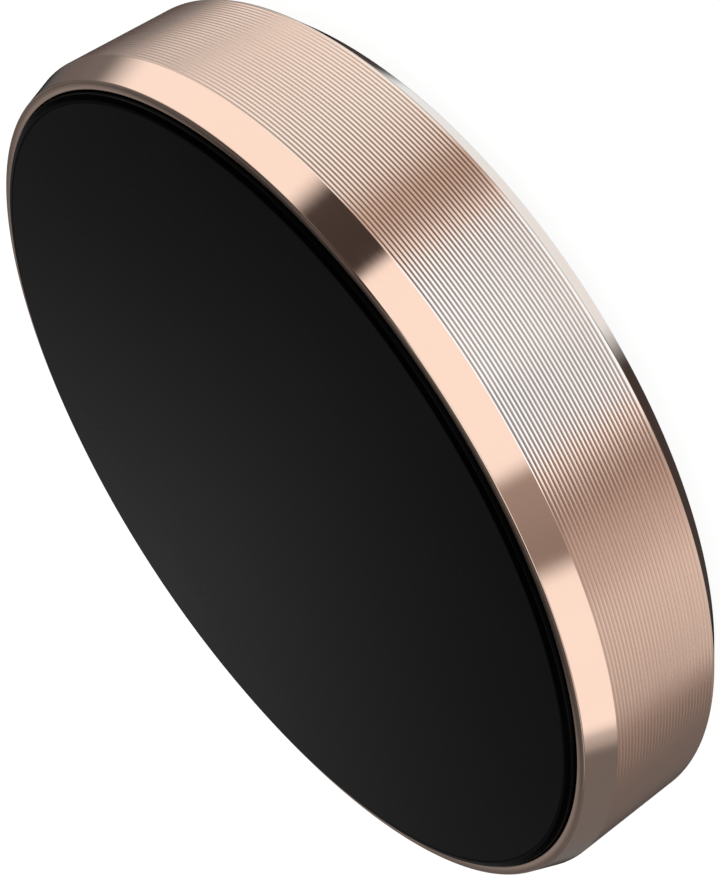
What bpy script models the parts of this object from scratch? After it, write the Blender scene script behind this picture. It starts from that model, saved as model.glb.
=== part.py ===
"""Magnetic dashboard phone mount: a flat turned disc that holds a phone by magnets.

The part lies on its adhesive foam with the black phone pad facing up. Units are metres,
+Z is the disc's axis, and the origin is the centre of the foam's outer face. From the back
to the front the pieces are the adhesive foam, the back cover, the steel yoke plate, the
plastic carrier with its round magnets, the case's own web, the pad's adhesive and the pad.
"""

import math

import bmesh
import bpy

# Clearance between pieces that seat on each other
FIT_GAP = 0.0003

# Case, turned from aluminium bar
CASE_RADIUS = 0.020
FRONT_CHAMFER_WIDTH = 0.00044
FRONT_CHAMFER_HEIGHT = 0.00129
BACK_CHAMFER_WIDTH = 0.00092
BACK_CHAMFER_HEIGHT = 0.00095
LIP_WIDTH = 0.00037
WALL_THICKNESS = 0.0024
WEB_THICKNESS = 0.0007
BACK_RIM_WIDTH = 0.00108

# Fine grooves round the side of the case
GROOVE_COUNT = 30
GROOVE_DEPTH = 0.00004
BACK_LAND_HEIGHT = 0.0001

# Phone pad and the adhesive under it
PAD_THICKNESS = 0.0008
PAD_PROUD = 0.00025
PAD_EDGE_RADIUS = 0.00026
PAD_ADHESIVE_THICKNESS = 0.0002
PAD_ADHESIVE_INSET = 0.0005

# Magnets in their carrier
MAGNET_COUNT = 6
MAGNET_RADIUS = 0.004
MAGNET_THICKNESS = 0.002
MAGNET_EDGE = 0.0002
CARRIER_RIM_WIDTH = 0.0006
POCKET_WALL_WIDTH = 0.0006

# Yoke plate, back cover and adhesive foam
YOKE_THICKNESS = 0.0008
COVER_THICKNESS = 0.0008
PLATE_EDGE = 0.00015
FOAM_THICKNESS = 0.0011
FOAM_PROUD = 0.0005
FOAM_INSET = 0.0006

# Fineness of the round shapes
TURNED_SEGMENTS = 64
MAGNET_SEGMENTS = 24
PAD_EDGE_STEPS = 3
SHARP_ANGLE = math.radians(25)
MERGE_DISTANCE = 0.00001

# Finishes: colour, roughness and metallic value
ROSE_GOLD = ((0.86, 0.56, 0.44), 0.28, 1.0)
BLACK_SILICONE = ((0.012, 0.012, 0.013), 0.45, 0.0)
ADHESIVE_FILM = ((0.62, 0.60, 0.55), 0.4, 0.0)
DARK_GREY_PLASTIC = ((0.09, 0.09, 0.095), 0.55, 0.0)
NICKEL_PLATE = ((0.62, 0.60, 0.57), 0.22, 1.0)
ZINC_PLATED_STEEL = ((0.56, 0.57, 0.58), 0.35, 1.0)
BLACK_PLASTIC = ((0.02, 0.02, 0.021), 0.5, 0.0)
BLACK_FOAM = ((0.03, 0.03, 0.032), 0.9, 0.0)

# Heights of the stack, each piece one clearance above the one under it
COVER_Z = FOAM_THICKNESS + FIT_GAP
YOKE_Z = COVER_Z + COVER_THICKNESS + FIT_GAP
MAGNET_Z = YOKE_Z + YOKE_THICKNESS + FIT_GAP
WEB_Z = MAGNET_Z + MAGNET_THICKNESS + FIT_GAP
PAD_ADHESIVE_Z = WEB_Z + WEB_THICKNESS + FIT_GAP
PAD_Z = PAD_ADHESIVE_Z + PAD_ADHESIVE_THICKNESS + FIT_GAP

# Case heights above its own back plane, which the foam holds off the dashboard
CASE_Z = FOAM_PROUD
CASE_HEIGHT = PAD_Z + PAD_THICKNESS - PAD_PROUD - CASE_Z
RECESS_FLOOR = WEB_Z + WEB_THICKNESS - CASE_Z
WEB_UNDERSIDE = WEB_Z - CASE_Z
COVER_SHOULDER = YOKE_Z - CASE_Z

# Radii that one piece takes from another
RECESS_RADIUS = CASE_RADIUS - FRONT_CHAMFER_WIDTH - LIP_WIDTH
CAVITY_RADIUS = CASE_RADIUS - WALL_THICKNESS
COVER_BORE_RADIUS = CASE_RADIUS - BACK_CHAMFER_WIDTH - BACK_RIM_WIDTH
PAD_RADIUS = RECESS_RADIUS - FIT_GAP
CARRIER_RADIUS = CAVITY_RADIUS - FIT_GAP
POCKET_RADIUS = MAGNET_RADIUS + FIT_GAP
MAGNET_CIRCLE_RADIUS = CARRIER_RADIUS - CARRIER_RIM_WIDTH - POCKET_RADIUS
CARRIER_HOLE_RADIUS = MAGNET_CIRCLE_RADIUS - POCKET_RADIUS - POCKET_WALL_WIDTH


def clear_scene():
    """Remove whatever the scene holds, so that the script can be run again."""
    for old in list(bpy.data.objects):
        bpy.data.objects.remove(old, do_unlink=True)
    for old in list(bpy.data.collections):
        bpy.data.collections.remove(old)


def new_collection(name):
    """Make a collection under the scene's own."""
    collection = bpy.data.collections.new(name)
    bpy.context.scene.collection.children.link(collection)
    return collection


def new_material(name, finish):
    """Make a plain Principled material from a finish."""
    colour, roughness, metallic = finish
    material = bpy.data.materials.new(name)
    material.use_nodes = True
    shader = material.node_tree.nodes["Principled BSDF"]
    shader.inputs["Base Color"].default_value = (*colour, 1.0)
    shader.inputs["Roughness"].default_value = roughness
    shader.inputs["Metallic"].default_value = metallic
    material.diffuse_color = (*colour, 1.0)
    return material


def new_object(name, mesh, collection, material=None):
    """Put a mesh in the scene as an object with one material."""
    if material:
        mesh.materials.append(material)
    piece = bpy.data.objects.new(name, mesh)
    collection.objects.link(piece)
    return piece


def bake(piece):
    """Apply the piece's modifiers, and shade its round faces smooth between sharp edges."""
    bpy.context.view_layer.update()
    evaluated = piece.evaluated_get(bpy.context.evaluated_depsgraph_get())
    mesh = bpy.data.meshes.new_from_object(evaluated)
    mesh.name = piece.name
    piece.modifiers.clear()
    piece.data = mesh
    mesh.shade_smooth()
    mesh.set_sharp_from_angle(angle=SHARP_ANGLE)
    return piece


def turned_piece(name, profile, collection, material):
    """Spin a profile of (radius, height) points, which runs down the outside, round Z."""
    mesh = bpy.data.meshes.new(name)
    points = [(radius, 0.0, height) for radius, height in profile]
    edges = [(index, index + 1) for index in range(len(points) - 1)]
    mesh.from_pydata(points, edges, [])
    piece = new_object(name, mesh, collection, material)
    screw = piece.modifiers.new("Turn", "SCREW")
    screw.axis = "Z"
    screw.steps = TURNED_SEGMENTS
    screw.render_steps = TURNED_SEGMENTS
    screw.use_merge_vertices = True
    screw.merge_threshold = MERGE_DISTANCE
    return bake(piece)


def disc_mesh(name, radius, thickness, segments):
    """Make a flat disc that stands on its own origin."""
    shape = bmesh.new()
    bmesh.ops.create_cone(
        shape,
        cap_ends=True,
        segments=segments,
        radius1=radius,
        radius2=radius,
        depth=thickness,
    )
    bmesh.ops.translate(shape, verts=shape.verts, vec=(0.0, 0.0, thickness / 2))
    mesh = bpy.data.meshes.new(name)
    shape.to_mesh(mesh)
    shape.free()
    return mesh


def disc_piece(name, radius, thickness, edge, collection, material, segments=TURNED_SEGMENTS):
    """Make a disc, with its two rims bevelled where edge isn't zero."""
    piece = new_object(name, disc_mesh(name, radius, thickness, segments), collection, material)
    if edge > 0:
        bevel = piece.modifiers.new("Edge", "BEVEL")
        bevel.width = edge
        bevel.segments = 1
        bevel.limit_method = "ANGLE"
        bevel.angle_limit = SHARP_ANGLE
    return bake(piece)


def side_grooves(top, bottom):
    """Points of the grooves down the case's side: crest, valley, crest and so on."""
    pitch = (top - bottom) / GROOVE_COUNT
    points = []
    for index in range(GROOVE_COUNT):
        crest = top - index * pitch
        points.append((CASE_RADIUS, crest))
        points.append((CASE_RADIUS - GROOVE_DEPTH, crest - pitch / 2))
    points.append((CASE_RADIUS, bottom))
    return points


def case_profile():
    """Half section of the case, a cup with a web under the pad and a stepped bore at its back."""
    side_top = CASE_HEIGHT - FRONT_CHAMFER_HEIGHT
    back_edge = BACK_CHAMFER_HEIGHT
    profile = [
        (0.0, RECESS_FLOOR),
        (RECESS_RADIUS, RECESS_FLOOR),
        (RECESS_RADIUS, CASE_HEIGHT),
        (CASE_RADIUS - FRONT_CHAMFER_WIDTH, CASE_HEIGHT),
    ]
    profile += side_grooves(side_top, back_edge + BACK_LAND_HEIGHT)
    profile += [
        (CASE_RADIUS, back_edge),
        (CASE_RADIUS - BACK_CHAMFER_WIDTH, 0.0),
        (COVER_BORE_RADIUS, 0.0),
        (COVER_BORE_RADIUS, COVER_SHOULDER),
        (CAVITY_RADIUS, COVER_SHOULDER),
        (CAVITY_RADIUS, WEB_UNDERSIDE),
        (0.0, WEB_UNDERSIDE),
    ]
    return profile


def pad_profile():
    """Half section of the pad, a flat disc with a rounded upper edge."""
    centre_radius = PAD_RADIUS - PAD_EDGE_RADIUS
    centre_height = PAD_THICKNESS - PAD_EDGE_RADIUS
    profile = [(0.0, PAD_THICKNESS)]
    for step in range(PAD_EDGE_STEPS + 1):
        angle = math.pi / 2 * (1 - step / PAD_EDGE_STEPS)
        radius = centre_radius + PAD_EDGE_RADIUS * math.cos(angle)
        profile.append((radius, centre_height + PAD_EDGE_RADIUS * math.sin(angle)))
    profile += [(PAD_RADIUS, 0.0), (0.0, 0.0)]
    return profile


def magnet_places():
    """Centres of the magnets, evenly round the magnet circle."""
    places = []
    for index in range(MAGNET_COUNT):
        angle = 2 * math.pi * index / MAGNET_COUNT
        x = MAGNET_CIRCLE_RADIUS * math.cos(angle)
        y = MAGNET_CIRCLE_RADIUS * math.sin(angle)
        places.append((x, y, 0.0))
    return places


def make_case(parts):
    """The aluminium case with its lip, polished chamfers and grooved side."""
    material = new_material("rose_gold_aluminium", ROSE_GOLD)
    case = turned_piece("case", case_profile(), parts, material)
    case.location.z = CASE_Z


def make_pad(parts):
    """The black phone pad and the adhesive that holds it in the case's recess."""
    silicone = new_material("black_silicone", BLACK_SILICONE)
    pad = turned_piece("front_pad", pad_profile(), parts, silicone)
    pad.location.z = PAD_Z

    adhesive = new_material("adhesive_film", ADHESIVE_FILM)
    film_radius = PAD_RADIUS - PAD_ADHESIVE_INSET
    film = disc_piece("pad_adhesive", film_radius, PAD_ADHESIVE_THICKNESS, 0.0, parts, adhesive)
    film.location.z = PAD_ADHESIVE_Z


def cut_hole(piece, name, radius, place, cutters):
    """Cut a round hole through the carrier at place, with a cutter proud of both its faces."""
    height = MAGNET_THICKNESS + 2 * FIT_GAP
    cutter = new_object(f"{name}_cutter", disc_mesh(name, radius, height, MAGNET_SEGMENTS), cutters)
    cutter.parent = piece.parent
    cutter.location = (place[0], place[1], -FIT_GAP)
    cutter.hide_render = True
    cutter.display_type = "WIRE"
    hole = piece.modifiers.new(name, "BOOLEAN")
    hole.operation = "DIFFERENCE"
    hole.object = cutter


def make_magnet_pack(parts, cutters):
    """The plastic carrier, its pockets and the magnets that stand in them."""
    pack = bpy.data.objects.new("magnet_pack", None)
    pack.location.z = MAGNET_Z
    parts.objects.link(pack)
    places = magnet_places()

    plastic = new_material("carrier_plastic", DARK_GREY_PLASTIC)
    carrier_mesh = disc_mesh("magnet_carrier", CARRIER_RADIUS, MAGNET_THICKNESS, TURNED_SEGMENTS)
    carrier = new_object("magnet_carrier", carrier_mesh, parts, plastic)
    carrier.parent = pack
    cut_hole(carrier, "centre_hole", CARRIER_HOLE_RADIUS, (0.0, 0.0), cutters)
    for number, place in enumerate(places, start=1):
        cut_hole(carrier, f"pocket_{number}", POCKET_RADIUS, place, cutters)
    bake(carrier)

    nickel = new_material("nickel_plate", NICKEL_PLATE)
    first = disc_piece(
        "magnet_1", MAGNET_RADIUS, MAGNET_THICKNESS, MAGNET_EDGE, parts, nickel, MAGNET_SEGMENTS
    )
    magnets = [first]
    for number in range(2, len(places) + 1):
        magnet = bpy.data.objects.new(f"magnet_{number}", first.data)
        parts.objects.link(magnet)
        magnets.append(magnet)
    for magnet, place in zip(magnets, places):
        magnet.parent = pack
        magnet.location = place


def make_back(parts):
    """The steel yoke plate, the plastic back cover and the adhesive foam."""
    steel = new_material("zinc_plated_steel", ZINC_PLATED_STEEL)
    yoke = disc_piece("yoke_plate", CARRIER_RADIUS, YOKE_THICKNESS, PLATE_EDGE, parts, steel)
    yoke.location.z = YOKE_Z

    plastic = new_material("cover_plastic", BLACK_PLASTIC)
    cover_radius = COVER_BORE_RADIUS - FIT_GAP
    cover = disc_piece("back_cover", cover_radius, COVER_THICKNESS, PLATE_EDGE, parts, plastic)
    cover.location.z = COVER_Z

    foam = new_material("foam_tape", BLACK_FOAM)
    foam_radius = COVER_BORE_RADIUS - FOAM_INSET
    disc_piece("adhesive_foam", foam_radius, FOAM_THICKNESS, 0.0, parts, foam)


def main():
    """Build the whole mount."""
    clear_scene()
    parts = new_collection("magnetic_phone_mount")
    cutters = new_collection("cutters")
    make_case(parts)
    make_pad(parts)
    make_magnet_pack(parts, cutters)
    make_back(parts)


main()
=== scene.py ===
"""The looks of the magnetic phone mount: its turned case, pad, foam, materials, studio and camera."""

import math

import bpy
import numpy as np
from mathutils import Matrix, Vector


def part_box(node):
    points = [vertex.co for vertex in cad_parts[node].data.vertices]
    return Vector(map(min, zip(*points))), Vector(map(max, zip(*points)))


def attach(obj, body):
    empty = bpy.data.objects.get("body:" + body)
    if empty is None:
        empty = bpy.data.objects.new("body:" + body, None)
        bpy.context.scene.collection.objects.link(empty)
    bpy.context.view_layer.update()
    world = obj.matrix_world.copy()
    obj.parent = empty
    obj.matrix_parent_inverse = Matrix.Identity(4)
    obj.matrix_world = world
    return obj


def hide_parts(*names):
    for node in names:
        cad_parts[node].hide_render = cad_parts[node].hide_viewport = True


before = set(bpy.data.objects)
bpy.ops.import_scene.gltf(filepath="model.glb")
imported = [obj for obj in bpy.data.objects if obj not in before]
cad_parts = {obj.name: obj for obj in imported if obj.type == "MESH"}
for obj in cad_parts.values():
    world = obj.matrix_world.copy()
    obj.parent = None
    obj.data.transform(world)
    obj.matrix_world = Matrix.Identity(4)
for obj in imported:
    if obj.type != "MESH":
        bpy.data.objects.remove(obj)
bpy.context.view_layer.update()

BODY = "root"
MM = 0.001

# Fineness of the turned pieces
RING_SEGMENTS = 384
SHARP_ANGLE = math.radians(25)
ARC_STEPS = 5

# Case, read from its CAD node's box, with the depths and widths that the box doesn't give
case_low, case_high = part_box("case")
CASE_RADIUS = case_high.x
CASE_BACK = case_low.z
LIP_Z = case_high.z
FRONT_CHAMFER_WIDTH = 0.50 * MM
FRONT_CHAMFER_HEIGHT = 1.29 * MM
BACK_CHAMFER_WIDTH = 0.92 * MM
BACK_CHAMFER_HEIGHT = 0.95 * MM
LIP_WIDTH = 0.43 * MM
BACK_RIM_WIDTH = 1.08 * MM
WALL_THICKNESS = 2.4 * MM
WEB_THICKNESS = 0.7 * MM
CLEARANCE = 0.3 * MM

# Broken edges of the case, and how far beside a round its support points lie
EDGE_BREAK = 0.03 * MM
SIDE_BREAK = 0.022 * MM
BACK_BREAK = 0.15 * MM
LIP_BREAK = 0.045 * MM
INNER_BREAK = 0.05 * MM
SUPPORT = 0.012 * MM

# Lip, a shallow dish: the height of its inner edge over its lowest point, that point's share of the way
# out, the share of the height that lies below the lip's plane, and the number of steps across it
LIP_DISH = 0.018 * MM
LIP_LOW = 0.7
LIP_LEVEL = 0.45
LIP_STEPS = 6

# Grooves round the case's side
GROOVE_COUNT = 30
GROOVE_WIDTH = 0.094 * MM
GROOVE_DEPTH = 0.0232 * MM
BACK_LAND_HEIGHT = 0.1 * MM

# Pad
pad_low, pad_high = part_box("front_pad")
PAD_GAP = 0.05 * MM
PAD_BEVEL_WIDTH = 0.255 * MM
PAD_BEVEL_HEIGHT = 0.10 * MM
PAD_DRAFT = 0.045 * MM
PAD_TOP_BREAK = 0.05 * MM
PAD_SIDE_BREAK = 0.02 * MM
PAD_MATT_RIM = 0.07 * MM

# Foam
foam_low, foam_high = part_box("adhesive_foam")
FOAM_EDGE = 0.08 * MM
FOAM_WAIST = 0.05 * MM
FOAM_STEPS = 6

# Anodised colours, between which the case's clouds lie, and the radius in the noise of the circle along
# which its turning marks are drawn out
ROSE_GOLD = (1.0, 0.725, 0.59, 1)
DEEP_ROSE_GOLD = (0.97, 0.70, 0.565, 1)
MARKS_CIRCLE = 1.5

# Range that most of a noise lies in, and a wider one for the foam
NOISE_RANGE = (0.3, 0.7)
FOAM_NOISE_RANGE = (0.2, 0.8)

# Floor
FLOOR_HALF = 3.0
FLOOR_DROP = 0.02 * MM
FLOOR_GREY = (0.12, 0.12, 0.12, 1)
FLOOR_GLOW = 0.925

# Camera, placed from the middle of the case's back face. The sensor's width is in millimetres.
CAMERA_DISTANCE = 100.77 * MM
CAMERA_ELEVATION = math.radians(25.003)
CAMERA_ROLL = math.radians(-123.142)
CAMERA_PAN = 0.0180
CAMERA_TILT = 0.0155
FOCAL_PIXELS = 2275.3
IMAGE_HEIGHT = 888
SENSOR_WIDTH = 36.0
CLIP_START, CLIP_END = 1 * MM, 20.0


class Graph:
    """A short way to add and link nodes in one node tree."""

    def __init__(self, tree):
        self.tree = tree

    def add(self, kind, inputs=None, **settings):
        node = self.tree.nodes.new(kind)
        for name, value in settings.items():
            setattr(node, name, value)
        for name, value in (inputs or {}).items():
            if isinstance(value, bpy.types.NodeSocket):
                self.tree.links.new(value, node.inputs[name])
            else:
                node.inputs[name].default_value = value
        return node

    def math(self, operation, first, second=0.0, third=0.0):
        inputs = {0: first, 1: second, 2: third}
        return self.add("ShaderNodeMath", inputs, operation=operation).outputs[0]

    def ramp(self, value, low, high, to_low=0.0, to_high=1.0, smooth=False):
        kind = "SMOOTHSTEP" if smooth else "LINEAR"
        inputs = {"Value": value, "From Min": low, "From Max": high, "To Min": to_low, "To Max": to_high}
        return self.add("ShaderNodeMapRange", inputs, interpolation_type=kind).outputs["Result"]

    def mix(self, share, first, second):
        node = self.add("ShaderNodeMix", {0: share, 6: first, 7: second}, data_type="RGBA")
        return node.outputs[2]

    def scale(self, colour, factor):
        inputs = {0: colour, "Scale": factor}
        return self.add("ShaderNodeVectorMath", inputs, operation="SCALE").outputs[0]

    def noise(self, vector, scale, detail=2.0, roughness=0.5):
        inputs = {"Vector": vector, "Scale": scale, "Detail": detail, "Roughness": roughness}
        return self.add("ShaderNodeTexNoise", inputs).outputs[0]

    def bump(self, height, distance, strength=1.0):
        inputs = {"Height": height, "Distance": distance, "Strength": strength}
        return self.add("ShaderNodeBump", inputs).outputs["Normal"]


def new_material(name, metallic, ior_level=0.5):
    """A material with an empty Principled shader, and the graph to fill it with."""
    material = bpy.data.materials.new(name)
    material.use_nodes = True
    graph = Graph(material.node_tree)
    shader = material.node_tree.nodes["Principled BSDF"]
    shader.inputs["Metallic"].default_value = metallic
    shader.inputs["Specular IOR Level"].default_value = ior_level
    return material, graph, shader


def link(graph, socket, shader, name):
    """Link a node's output to the shader's input of that name."""
    graph.tree.links.new(socket, shader.inputs[name])


def lathe_coordinates(graph):
    """Radius, height and angle of a point on a turned piece, in millimetres and radians."""
    place = graph.add("ShaderNodeTexCoord").outputs["Object"]
    split = graph.add("ShaderNodeSeparateXYZ", {0: place})
    x, y, z = split.outputs
    squares = graph.math("ADD", graph.math("MULTIPLY", x, x), graph.math("MULTIPLY", y, y))
    radius = graph.math("MULTIPLY", graph.math("SQRT", squares), 1 / MM)
    height = graph.math("MULTIPLY", z, 1 / MM)
    angle = graph.math("ARCTAN2", y, x)
    return place, radius, height, angle


def turning_marks(graph, radius, height, angle, across):
    """Noise drawn out round the axis, as a lathe tool leaves it, with so many waves per millimetre."""
    around_x = graph.math("MULTIPLY", graph.math("COSINE", angle), MARKS_CIRCLE)
    around_y = graph.math("MULTIPLY", graph.math("SINE", angle), MARKS_CIRCLE)
    section = graph.math("MULTIPLY", graph.math("ADD", radius, height), across)
    vector = graph.add("ShaderNodeCombineXYZ", {0: around_x, 1: around_y, 2: section}).outputs[0]
    return graph.noise(vector, 1.0, detail=3.0)


def anodised_metal(name, roughness, marks_depth, across):
    """Rose-gold anodised aluminium, with turning marks, faint clouds and some rougher patches."""
    material, graph, shader = new_material(name, 1.0)
    place, radius, height, angle = lathe_coordinates(graph)
    marks = turning_marks(graph, radius, height, angle, across)
    clouds = graph.noise(place, scale=260.0, detail=3.0)
    link(graph, graph.mix(clouds, ROSE_GOLD, DEEP_ROSE_GOLD), shader, "Base Color")
    rough_marks = graph.ramp(marks, *NOISE_RANGE, roughness * 0.85, roughness * 1.15)
    rough_clouds = graph.ramp(clouds, 0.35, 0.75, -0.08 * roughness, 0.10 * roughness)
    link(graph, graph.math("ADD", rough_marks, rough_clouds), shader, "Roughness")
    link(graph, graph.bump(marks, marks_depth * MM), shader, "Normal")
    return material


def black_silicone(name, ior_level, roughness, dark, light):
    """Smooth black silicone with a very fine grain."""
    material, graph, shader = new_material(name, 0.0, ior_level)
    place = graph.add("ShaderNodeTexCoord").outputs["Object"]
    grain = graph.noise(place, scale=9000.0)
    clouds = graph.noise(place, scale=120.0)
    link(graph, graph.mix(clouds, (dark, dark, dark, 1), (light, light, light, 1)), shader, "Base Color")
    fine = graph.ramp(grain, *NOISE_RANGE, roughness - 0.03, roughness + 0.03)
    broad = graph.ramp(clouds, *NOISE_RANGE, -0.02, 0.02)
    link(graph, graph.math("ADD", fine, broad), shader, "Roughness")
    link(graph, graph.bump(grain, 0.002 * MM, strength=0.4), shader, "Normal")
    return material


def foam_tape():
    """Closed-cell black foam: small cells on its edge and face."""
    material, graph, shader = new_material("foam_black", 0.0, ior_level=0.25)
    place = graph.add("ShaderNodeTexCoord").outputs["Object"]
    cells = graph.add("ShaderNodeTexVoronoi", {"Vector": place, "Scale": 5200.0})
    clouds = graph.noise(place, scale=400.0, detail=3.0)
    patches = graph.ramp(clouds, *FOAM_NOISE_RANGE, 0.7, 1.2)
    shade = graph.math("MULTIPLY", cells.outputs["Distance"], patches)
    dark, light = (0.016, 0.016, 0.017, 1), (0.038, 0.038, 0.040, 1)
    link(graph, graph.mix(shade, dark, light), shader, "Base Color")
    link(graph, graph.ramp(clouds, *FOAM_NOISE_RANGE, 0.80, 0.95), shader, "Roughness")
    link(graph, graph.bump(cells.outputs["Distance"], 0.03 * MM), shader, "Normal")
    return material


def moulded_plastic(name, dark, light, roughness):
    """Spark-textured injection-moulded plastic."""
    material, graph, shader = new_material(name, 0.0, ior_level=0.45)
    place = graph.add("ShaderNodeTexCoord").outputs["Object"]
    grain = graph.noise(place, scale=5200.0, detail=3.0)
    clouds = graph.noise(place, scale=200.0)
    link(graph, graph.mix(clouds, dark, light), shader, "Base Color")
    link(graph, graph.ramp(grain, *NOISE_RANGE, roughness - 0.06, roughness + 0.06), shader, "Roughness")
    link(graph, graph.bump(grain, 0.012 * MM), shader, "Normal")
    return material


def plated_metal(name, dark, light, roughness):
    """Plated steel or magnet: faint mottling under a bright skin."""
    material, graph, shader = new_material(name, 1.0)
    place = graph.add("ShaderNodeTexCoord").outputs["Object"]
    mottle = graph.noise(place, scale=700.0, detail=4.0)
    link(graph, graph.mix(mottle, dark, light), shader, "Base Color")
    link(graph, graph.ramp(mottle, *NOISE_RANGE, roughness - 0.05, roughness + 0.07), shader, "Roughness")
    link(graph, graph.bump(mottle, 0.002 * MM), shader, "Normal")
    return material


def adhesive_film():
    """Thin double-sided film, milky with a faint ripple."""
    material, graph, shader = new_material("adhesive_film", 0.0)
    place = graph.add("ShaderNodeTexCoord").outputs["Object"]
    ripple = graph.noise(place, scale=300.0)
    dark, light = (0.58, 0.56, 0.50, 1), (0.68, 0.66, 0.60, 1)
    link(graph, graph.mix(ripple, dark, light), shader, "Base Color")
    link(graph, graph.ramp(ripple, *NOISE_RANGE, 0.3, 0.45), shader, "Roughness")
    link(graph, graph.bump(ripple, 0.01 * MM), shader, "Normal")
    return material


def turned_piece(name, profile, materials, slot, *nodes):
    """Spin (radius, height, material) points round Z; a point's material is the face's below it."""
    angles = np.linspace(0, 2 * math.pi, RING_SEGMENTS, endpoint=False)
    cosines, sines = np.cos(angles), np.sin(angles)
    points, rings = [], []
    for radius, height, _ in profile:
        start = len(points)
        if radius == 0:
            points.append((0.0, 0.0, height))
            rings.append([start] * RING_SEGMENTS)
        else:
            points += [(radius * c, radius * s, height) for c, s in zip(cosines, sines)]
            rings.append(list(range(start, start + RING_SEGMENTS)))
    faces, slots = [], []
    for (upper, lower), (_, _, surface) in zip(zip(rings, rings[1:]), profile):
        for index in range(RING_SEGMENTS):
            after = (index + 1) % RING_SEGMENTS
            corners = [upper[index], lower[index], lower[after], upper[after]]
            faces.append([corner for place, corner in enumerate(corners) if corner not in corners[:place]])
            slots.append(surface)
    mesh = bpy.data.meshes.new(name)
    mesh.from_pydata(points, [], faces)
    for material in materials:
        mesh.materials.append(material)
    mesh.polygons.foreach_set("material_index", slots)
    mesh.shade_smooth()
    mesh.set_sharp_from_angle(angle=SHARP_ANGLE)
    piece = bpy.data.objects.new(name, mesh)
    bpy.context.scene.collection.objects.link(piece)
    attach(piece, BODY)
    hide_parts(*nodes)
    return piece


def broken_corner(before, corner, after, edge, material, size=EDGE_BREAK):
    """The points of a small round in place of a sharp corner, with a support point on each side of it."""
    corner = Vector(corner)
    to_before = (Vector(before) - corner).normalized()
    to_after = (Vector(after) - corner).normalized()
    start, end = corner + to_before * size, corner + to_after * size
    points = [start + to_before * SUPPORT]
    for step in range(ARC_STEPS + 1):
        share = step / ARC_STEPS
        points.append(start * (1 - share) ** 2 + corner * 2 * share * (1 - share) + end * share**2)
    points.append(end + to_after * SUPPORT)
    surfaces = [edge] * (len(points) - 1) + [material]
    return [(point.x, point.y, surface) for point, surface in zip(points, surfaces)]


SIDE, POLISHED, SATIN, INSIDE = range(4)


def grooves(top, bottom):
    """Flat lands with a V groove between each two, down the side from top to bottom."""
    pitch = (top - bottom) / GROOVE_COUNT
    half = GROOVE_WIDTH / 2
    points = []
    for index in range(GROOVE_COUNT):
        middle = top - (index + 0.5) * pitch
        points.append((CASE_RADIUS, middle + half, SIDE))
        points.append((CASE_RADIUS - GROOVE_DEPTH, middle, SIDE))
        points.append((CASE_RADIUS, middle - half, SIDE))
    return points


def dished_lip(inner_radius, outer_radius):
    """The lip's points: a very shallow dish, lowest a little nearer to the chamfer than to the pad."""
    points = []
    for step in range(LIP_STEPS + 1):
        share = step / LIP_STEPS
        rise = LIP_DISH * ((share / LIP_LOW - 1) ** 2 - LIP_LEVEL)
        points.append((inner_radius + (outer_radius - inner_radius) * share, LIP_Z + rise))
    return points


def case_profile():
    """The case's half section, from the middle of the pad's recess round to the middle of the cavity."""
    lip_outer = CASE_RADIUS - FRONT_CHAMFER_WIDTH
    recess = lip_outer - LIP_WIDTH
    side_top = LIP_Z - FRONT_CHAMFER_HEIGHT
    side_bottom = CASE_BACK + BACK_CHAMFER_HEIGHT
    back_outer = CASE_RADIUS - BACK_CHAMFER_WIDTH
    bore = back_outer - BACK_RIM_WIDTH
    cavity = CASE_RADIUS - WALL_THICKNESS
    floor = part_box("pad_adhesive")[0].z - CLEARANCE
    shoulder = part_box("yoke_plate")[0].z
    web = floor - WEB_THICKNESS

    lip = dished_lip(recess, lip_outer)
    side_upper, side_lower = (CASE_RADIUS, side_top), (CASE_RADIUS, side_bottom)
    rim_outer, rim_inner = (back_outer, CASE_BACK), (bore, CASE_BACK)
    points = [(0.0, floor, INSIDE), (recess, floor, INSIDE)]
    points += broken_corner((recess, floor), lip[0], lip[1], SATIN, SATIN, INNER_BREAK)
    points += [(*place, SATIN) for place in lip[2:-1]]
    points += broken_corner(lip[-2], lip[-1], side_upper, POLISHED, POLISHED, LIP_BREAK)
    points += broken_corner(lip[-1], side_upper, side_lower, POLISHED, SIDE, SIDE_BREAK)
    points += grooves(side_top, side_bottom + BACK_LAND_HEIGHT)
    points += broken_corner(side_upper, side_lower, rim_outer, POLISHED, POLISHED)
    points += broken_corner(side_lower, rim_outer, rim_inner, POLISHED, SATIN, BACK_BREAK)
    points += broken_corner(rim_outer, rim_inner, (bore, shoulder), SATIN, INSIDE)
    points += [
        (bore, shoulder, INSIDE),
        (cavity, shoulder, INSIDE),
        (cavity, web, INSIDE),
        (0.0, web, INSIDE),
    ]
    return points


def make_case():
    """The turned case with its four finishes, in the order of SIDE, POLISHED, SATIN and INSIDE."""
    materials = [
        anodised_metal("case_side", roughness=0.17, marks_depth=0.0006, across=40.0),
        anodised_metal("case_polished", roughness=0.07, marks_depth=0.00012, across=22.0),
        anodised_metal("case_lip", roughness=0.17, marks_depth=0.0003, across=30.0),
        anodised_metal("case_inside", roughness=0.32, marks_depth=0.0015, across=16.0),
    ]
    return turned_piece("turned_case", case_profile(), materials, "case_aluminium", "case")


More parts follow.
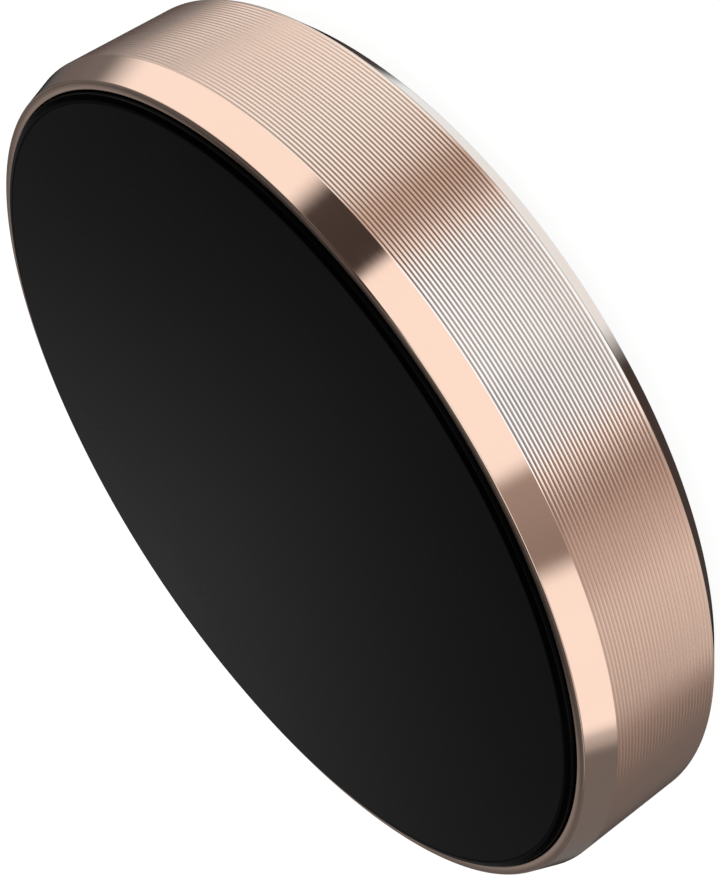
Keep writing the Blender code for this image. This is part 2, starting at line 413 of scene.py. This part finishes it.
def make_pad():
    """The pad, with a soft rounded edge that stands above the lip."""
    face, edge, ledge_line = 0, 1, 2
    materials = [
        black_silicone("pad_face", ior_level=0.07, roughness=0.24, dark=0.0007, light=0.0011),
        black_silicone("pad_edge", ior_level=0.02, roughness=0.24, dark=0.0002, light=0.0004),
        black_silicone("pad_ledge", ior_level=0.05, roughness=0.20, dark=0.0008, light=0.0012),
    ]
    radius = CASE_RADIUS - FRONT_CHAMFER_WIDTH - LIP_WIDTH - PAD_GAP
    shoulder = radius - PAD_DRAFT
    flat = shoulder - PAD_BEVEL_WIDTH
    middle, brow = (0.0, pad_high.z), (flat, pad_high.z)
    ledge, foot = (shoulder, pad_high.z - PAD_BEVEL_HEIGHT), (radius, LIP_Z)
    points = [(*middle, face), (flat - PAD_TOP_BREAK - PAD_MATT_RIM, pad_high.z, edge)]
    points += broken_corner(middle, brow, ledge, edge, edge, PAD_TOP_BREAK)
    points += broken_corner(brow, ledge, foot, ledge_line, edge, PAD_SIDE_BREAK)
    points += [(*foot, edge), (radius, pad_low.z, edge), (0.0, pad_low.z, edge)]
    return turned_piece("pad", points, materials, "pad_black", "front_pad")


def make_foam():
    """The foam tape: die-cut, so its edge is slightly waisted and its corners are soft."""
    radius = foam_high.x
    low, high = foam_low.z, foam_high.z
    upper, lower = (radius, high), (radius, low)
    points = [(0.0, high, 0)]
    points += broken_corner((0.0, high), upper, lower, 0, 0, FOAM_EDGE)
    for step in range(1, FOAM_STEPS):
        share = step / FOAM_STEPS
        waist = FOAM_WAIST * math.sin(math.pi * share)
        points.append((radius - waist, high - FOAM_EDGE - share * (high - low - 2 * FOAM_EDGE), 0))
    points += broken_corner(upper, lower, (0.0, low), 0, 0, FOAM_EDGE)
    points.append((0.0, low, 0))
    return turned_piece("foam", points, [foam_tape()], "foam_black", "adhesive_foam")


def dress_nodes():
    """Give each CAD node that stays its own finish."""
    nickel = (0.56, 0.54, 0.51, 1), (0.68, 0.66, 0.62, 1)
    zinc = (0.50, 0.51, 0.52, 1), (0.62, 0.63, 0.64, 1)
    dark_grey = (0.075, 0.075, 0.08, 1), (0.105, 0.105, 0.11, 1)
    black = (0.016, 0.016, 0.017, 1), (0.026, 0.026, 0.027, 1)
    magnet = plated_metal("magnet_nickel", *nickel, roughness=0.22)
    finishes = {
        "pad_adhesive": adhesive_film(),
        "magnet_carrier": moulded_plastic("carrier_plastic", *dark_grey, roughness=0.55),
        "yoke_plate": plated_metal("yoke_steel", *zinc, roughness=0.35),
        "back_cover": moulded_plastic("cover_plastic", *black, roughness=0.5),
    }
    for name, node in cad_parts.items():
        if name.startswith("magnet_") and name != "magnet_carrier":
            finish = magnet
        else:
            finish = finishes.get(name)
        if finish:
            node.data.materials.clear()
            node.data.materials.append(finish)


# Reflected studio. A row gives its light by the angle round from the camera's side, in degrees, as
# (angle, brightness, tint). The lands of the grooved side mirror the lower row, the sides of its grooves
# mirror the groove row, and the front chamfer mirrors the upper row.
PLAIN = (1.0, 1.0, 1.0)
CREAM = (1.0, 0.91, 0.89)
WARM = (1.0, 0.87, 0.82)
TAN = (1.0, 0.80, 0.70)
BROWN = (1.0, 0.64, 0.45)
CLEAR = (0.88, 0.96, 1.0)
COOL = (0.80, 0.93, 1.0)
FRESH = (0.74, 0.92, 1.0)
ICE = (0.61, 0.82, 1.0)
LOWER_ROW = [
    (-156, 0.01, WARM),
    (-149, 0.12, WARM),
    (-132, 0.15, WARM),
    (-111, 0.29, WARM),
    (-94, 0.55, PLAIN),
    (-84, 0.66, PLAIN),
    (-70, 0.70, PLAIN),
    (-56, 0.53, CREAM),
    (-42, 0.45, WARM),
    (-36, 0.64, PLAIN),
    (-31, 1.36, CLEAR),
    (-27, 1.76, ICE),
    (26, 1.70, ICE),
    (30, 1.02, PLAIN),
    (35, 0.57, CREAM),
    (42, 0.52, TAN),
    (52, 1.20, COOL),
    (68, 1.32, FRESH),
    (85, 1.18, COOL),
    (102, 0.94, CLEAR),
    (119, 0.50, COOL),
    (135, 0.34, PLAIN),
    (143, 0.23, PLAIN),
    (149, 0.13, WARM),
    (156, 0.01, WARM),
]
UPPER_ROW = [
    (-170, 0.02, PLAIN),
    (-162, 0.15, PLAIN),
    (-103, 0.16, PLAIN),
    (-98, 0.45, PLAIN),
    (-93, 1.00, PLAIN),
    (-54, 1.00, PLAIN),
    (-47, 0.27, WARM),
    (-29, 0.33, WARM),
    (-23, 1.00, PLAIN),
    (28, 1.00, PLAIN),
    (32, 0.050, WARM),
    (49, 0.060, WARM),
    (57, 1.00, PLAIN),
    (111, 1.00, PLAIN),
    (129, 0.17, PLAIN),
    (141, 0.15, CREAM),
    (155, 0.11, PLAIN),
    (166, 0.045, PLAIN),
    (172, 0.02, PLAIN),
]
GROOVE_ROW = [
    (-150, 0.12, WARM),
    (-133, 0.13, WARM),
    (-116, 0.15, WARM),
    (-102, 0.20, WARM),
    (-84, 0.42, CREAM),
    (-68, 0.53, CREAM),
    (-54, 0.45, WARM),
    (-41, 0.23, TAN),
    (-31, 0.29, TAN),
    (-21, 0.46, ICE),
    (-9, 0.51, ICE),
    (8, 0.49, ICE),
    (18, 0.38, ICE),
    (27, 0.17, TAN),
    (40, 0.165, BROWN),
    (52, 0.28, WARM),
    (65, 0.31, PLAIN),
    (80, 0.41, PLAIN),
    (95, 0.50, PLAIN),
    (109, 0.50, PLAIN),
    (122, 0.24, PLAIN),
    (133, 0.15, PLAIN),
    (144, 0.12, PLAIN),
]

# Brightness of the studio's other lights, and the brightest light that a row can hold
HEADROOM = 2.0
TOP_FRONT, TOP_LEFT, TOP_RIGHT = 1.15, 0.70, 0.03
CEILING_MIDDLE, CEILING_SIDES, OVERHEAD = 0.03, 0.12, 0.60
REAR_LOW, REAR_HIGH, REAR_EDGE, REAR_WINGS, REAR_SIDES = 0.48, 0.06, 0.34, 0.25, 0.10
FLOOR_DARK, FLOOR_LIGHT = 0.05, 1.0
AMBIENT = (1.2, 1.2, 1.2, 1)
WHITE = (1, 1, 1, 1)

# Soft edges of the studio's areas, each from its start to its end. Names that end in TURN hold degrees
# round from the camera's side, to either hand, and those in RISE hold degrees above the horizon. Names
# that end in X, Y or Z hold that share of a direction. The groove row starts at GROOVE_ROW_Z at the sides,
# and higher in front by GROOVE_ROW_FRONT_Z.
PARTING_TURN, PARTING_Z, PARTING_BLUR = (20.0, 110.0), (0.06, -0.31), (-0.05, 0.05)
GROOVE_ROW_Z, GROOVE_ROW_FRONT_Z, GROOVE_ROW_BLUR = 0.12, 0.23, (-0.03, 0.03)
BEHIND_Y = (-0.30, -0.12)
TOP_Z, TOP_FRONT_X, TOP_SIDE_X = (0.50, 0.56), (0.08, 0.25), (-0.65, -0.35)
REAR_TURN, REAR_RISE, REAR_LIGHT_RISE = (138.0, 148.0), (-3.0, 4.0), (10.0, 30.0)
REAR_SIDES_TURN, REAR_EDGE_TURN = (153.0, 159.0), (167.0, 180.0)
WINGS_TURN, WINGS_RISE = (164.0, 170.0), (28.0, 40.0)
CEILING_RISE, CEILING_X, OVERHEAD_RISE = (48.0, 58.0), (0.20, 0.36), (75.0, 81.0)
FLOOR_RISE, FLOOR_FAR_Y, FLOOR_BELOW_Z = (-36.5, -32.0), (0.38, 0.46), (-0.94, -0.87)
PATCH_X, PATCH_Z = (-0.10, -0.04), (-0.705, -0.645)


def scaled(value, tint):
    """A light's colour, scaled down so that a colour ramp can hold it."""
    return (*(value * share / HEADROOM for share in tint), 1.0)


def light_row(graph, around, stops):
    """A row of soft-ended lights by angle."""
    place = graph.ramp(around, -180.0, 180.0)
    node = graph.add("ShaderNodeValToRGB", {"Fac": place})
    node.color_ramp.interpolation = "EASE"
    elements = node.color_ramp.elements
    elements.remove(elements[1])
    for index, (angle, value, tint) in enumerate(stops):
        position = (angle + 180) / 360
        if index == 0:
            elements[0].position = position
            element = elements[0]
        else:
            element = elements.new(position)
        element.color = scaled(value, tint)
    return node.outputs["Color"]


def make_world():
    """White to the camera, even white light on matt surfaces, and a studio that shiny ones mirror."""
    world = bpy.data.worlds.new("studio")
    bpy.context.scene.world = world
    world.use_nodes = True
    world.cycles.sampling_method = "NONE"
    graph = Graph(world.node_tree)
    direction = graph.add("ShaderNodeTexCoord").outputs["Generated"]
    x, y, z = graph.add("ShaderNodeSeparateXYZ", {0: direction}).outputs
    to_degrees = 180 / math.pi
    away = graph.math("MULTIPLY", y, -1.0)
    around = graph.math("MULTIPLY", graph.math("ARCTAN2", x, away), to_degrees)
    elevation = graph.math("MULTIPLY", graph.math("ARCSINE", z), to_degrees)

    # The lower and the upper row, parted just under what the front chamfer mirrors, and the groove row
    turn = graph.math("ABSOLUTE", around)
    parting = graph.math("SUBTRACT", z, graph.ramp(turn, *PARTING_TURN, *PARTING_Z, smooth=True))
    raised = graph.ramp(parting, *PARTING_BLUR, smooth=True)
    rows = graph.mix(raised, light_row(graph, around, LOWER_ROW), light_row(graph, around, UPPER_ROW))
    groove_row = light_row(graph, around, GROOVE_ROW)
    frontness = graph.math("COSINE", graph.math("MULTIPLY", around, 1 / to_degrees))
    groove_height = graph.math("MULTIPLY_ADD", frontness, GROOVE_ROW_FRONT_Z, GROOVE_ROW_Z)
    above = graph.math("SUBTRACT", z, groove_height)
    rows = graph.mix(graph.ramp(above, *GROOVE_ROW_BLUR, smooth=True), rows, groove_row)

    # Over the rows, a light in front and one on the left
    grey = (1 / HEADROOM,) * 3
    behind = graph.ramp(y, *BEHIND_Y, smooth=True)
    front_top = graph.ramp(x, *TOP_FRONT_X, TOP_FRONT, TOP_RIGHT, smooth=True)
    top = graph.ramp(x, *TOP_SIDE_X, TOP_LEFT, TOP_RIGHT, smooth=True)
    top = graph.math("MULTIPLY_ADD", graph.math("SUBTRACT", top, front_top), behind, front_top)
    rows = graph.mix(graph.ramp(z, *TOP_Z, smooth=True), rows, graph.scale(grey, top))

    # Rear wall, whose light falls from low down to high up, with a wing on each side and dark beyond it
    rear_light = graph.math(
        "MULTIPLY",
        graph.ramp(elevation, *REAR_LIGHT_RISE, REAR_LOW, REAR_HIGH, smooth=True),
        graph.ramp(turn, *REAR_EDGE_TURN, REAR_EDGE, 1.0),
    )
    wings = graph.ramp(turn, *WINGS_TURN, REAR_WINGS, 0.0, smooth=True)
    wings = graph.math("MULTIPLY", wings, graph.ramp(elevation, *WINGS_RISE, 1.0, 0.0, smooth=True))
    rear_light = graph.math("MAXIMUM", rear_light, wings)
    beyond = graph.ramp(turn, *REAR_SIDES_TURN, REAR_SIDES, 1.0, smooth=True)
    rear_light = graph.math("MULTIPLY", rear_light, beyond)
    at_rear = graph.ramp(turn, *REAR_TURN, smooth=True)
    rear = graph.math("MULTIPLY", at_rear, graph.ramp(elevation, *REAR_RISE, smooth=True))
    light = graph.mix(rear, rows, graph.scale(grey, rear_light))

    # Ceiling, but not in front: dark in the middle with a soft light on each side, and one right overhead
    sideways = graph.math("ABSOLUTE", x)
    sides = graph.ramp(sideways, *CEILING_X, CEILING_MIDDLE, CEILING_SIDES, smooth=True)
    up = graph.math("MULTIPLY", behind, graph.ramp(elevation, *CEILING_RISE, smooth=True))
    light = graph.mix(up, light, graph.scale(grey, sides))
    overhead = graph.ramp(elevation, *OVERHEAD_RISE, smooth=True)
    light = graph.mix(overhead, light, graph.scale(grey, OVERHEAD))

    # Floor: the groove row again, and at the rear and straight below dark but for one light patch that
    # the back chamfer mirrors
    patch = graph.math(
        "MULTIPLY",
        graph.ramp(x, *PATCH_X, smooth=True),
        graph.ramp(z, *PATCH_Z, 1.0, 0.0, smooth=True),
    )
    far = graph.mix(patch, scaled(FLOOR_DARK, WARM), scaled(FLOOR_LIGHT, COOL))
    below = graph.ramp(z, *FLOOR_BELOW_Z, 1.0, 0.0, smooth=True)
    far_side = graph.math("MAXIMUM", graph.ramp(y, *FLOOR_FAR_Y, smooth=True), below)
    ground = graph.mix(far_side, groove_row, far)
    down = graph.ramp(elevation, *FLOOR_RISE, 1.0, 0.0, smooth=True)
    light = graph.scale(graph.mix(down, light, ground), HEADROOM)

    path = graph.add("ShaderNodeLightPath")
    to_camera = path.outputs["Is Camera Ray"]
    soft = graph.mix(to_camera, AMBIENT, WHITE)
    colour = graph.mix(path.outputs["Is Glossy Ray"], soft, light)
    background = world.node_tree.nodes["Background"]
    world.node_tree.links.new(colour, background.inputs["Color"])
    background.inputs["Strength"].default_value = 1.0


def make_floor():
    """A plain white floor, just under the foam, that can't be seen from below."""
    mesh = bpy.data.meshes.new("floor")
    signs = [(-1, -1), (1, -1), (1, 1), (-1, 1)]
    corners = [(FLOOR_HALF * along, FLOOR_HALF * across, -FLOOR_DROP) for along, across in signs]
    mesh.from_pydata(corners, [], [(0, 1, 2, 3)])
    floor = bpy.data.objects.new("floor", mesh)
    bpy.context.scene.collection.objects.link(floor)
    floor.visible_glossy = False
    floor.visible_diffuse = False

    material = bpy.data.materials.new("floor_white")
    material.use_nodes = True
    graph = Graph(material.node_tree)
    material.node_tree.nodes.remove(material.node_tree.nodes["Principled BSDF"])
    paper = graph.add("ShaderNodeBsdfDiffuse", {"Color": FLOOR_GREY}).outputs[0]
    glow = graph.add("ShaderNodeEmission", {"Color": WHITE, "Strength": FLOOR_GLOW}).outputs[0]
    lit = graph.add("ShaderNodeAddShader", {0: paper, 1: glow}).outputs[0]
    clear = graph.add("ShaderNodeBsdfTransparent").outputs[0]
    back = graph.add("ShaderNodeNewGeometry").outputs["Backfacing"]
    mix = graph.add("ShaderNodeMixShader", {0: back, 1: lit, 2: clear}).outputs[0]
    output = material.node_tree.nodes["Material Output"]
    material.node_tree.links.new(mix, output.inputs["Surface"])
    mesh.materials.append(material)


def make_camera():
    """The photograph's view: from low over the near edge, with the frame rolled on its side."""
    up_share, flat_share = math.sin(CAMERA_ELEVATION), math.cos(CAMERA_ELEVATION)
    back = Vector((0, -flat_share, up_share))
    place = Vector((0, 0, CASE_BACK)) + back * CAMERA_DISTANCE
    forward, right = -back, Vector((1, 0, 0))
    upward = right.cross(forward)
    cos_roll, sin_roll = math.cos(CAMERA_ROLL), math.sin(CAMERA_ROLL)
    rolled_right = right * cos_roll + upward * sin_roll
    rolled_up = upward * cos_roll - right * sin_roll
    cos_pan, sin_pan = math.cos(CAMERA_PAN), math.sin(CAMERA_PAN)
    cos_tilt, sin_tilt = math.cos(CAMERA_TILT), math.sin(CAMERA_TILT)
    image_right = rolled_right * cos_pan + forward * sin_pan
    panned = forward * cos_pan - rolled_right * sin_pan
    image_up = rolled_up * cos_tilt + panned * sin_tilt
    image_forward = panned * cos_tilt - rolled_up * sin_tilt

    data = bpy.data.cameras.new("camera")
    data.sensor_width = SENSOR_WIDTH
    data.lens = FOCAL_PIXELS / IMAGE_HEIGHT * SENSOR_WIDTH
    data.clip_start, data.clip_end = CLIP_START, CLIP_END
    camera = bpy.data.objects.new("camera", data)
    axes = Matrix((image_right, image_up, -image_forward)).transposed()
    camera.matrix_world = Matrix.Translation(place) @ axes.to_4x4()
    bpy.context.scene.collection.objects.link(camera)
    bpy.context.scene.camera = camera


make_case()
make_pad()
make_foam()
dress_nodes()
make_floor()
make_world()
make_camera()
bpy.context.scene.view_settings.view_transform = "Standard"
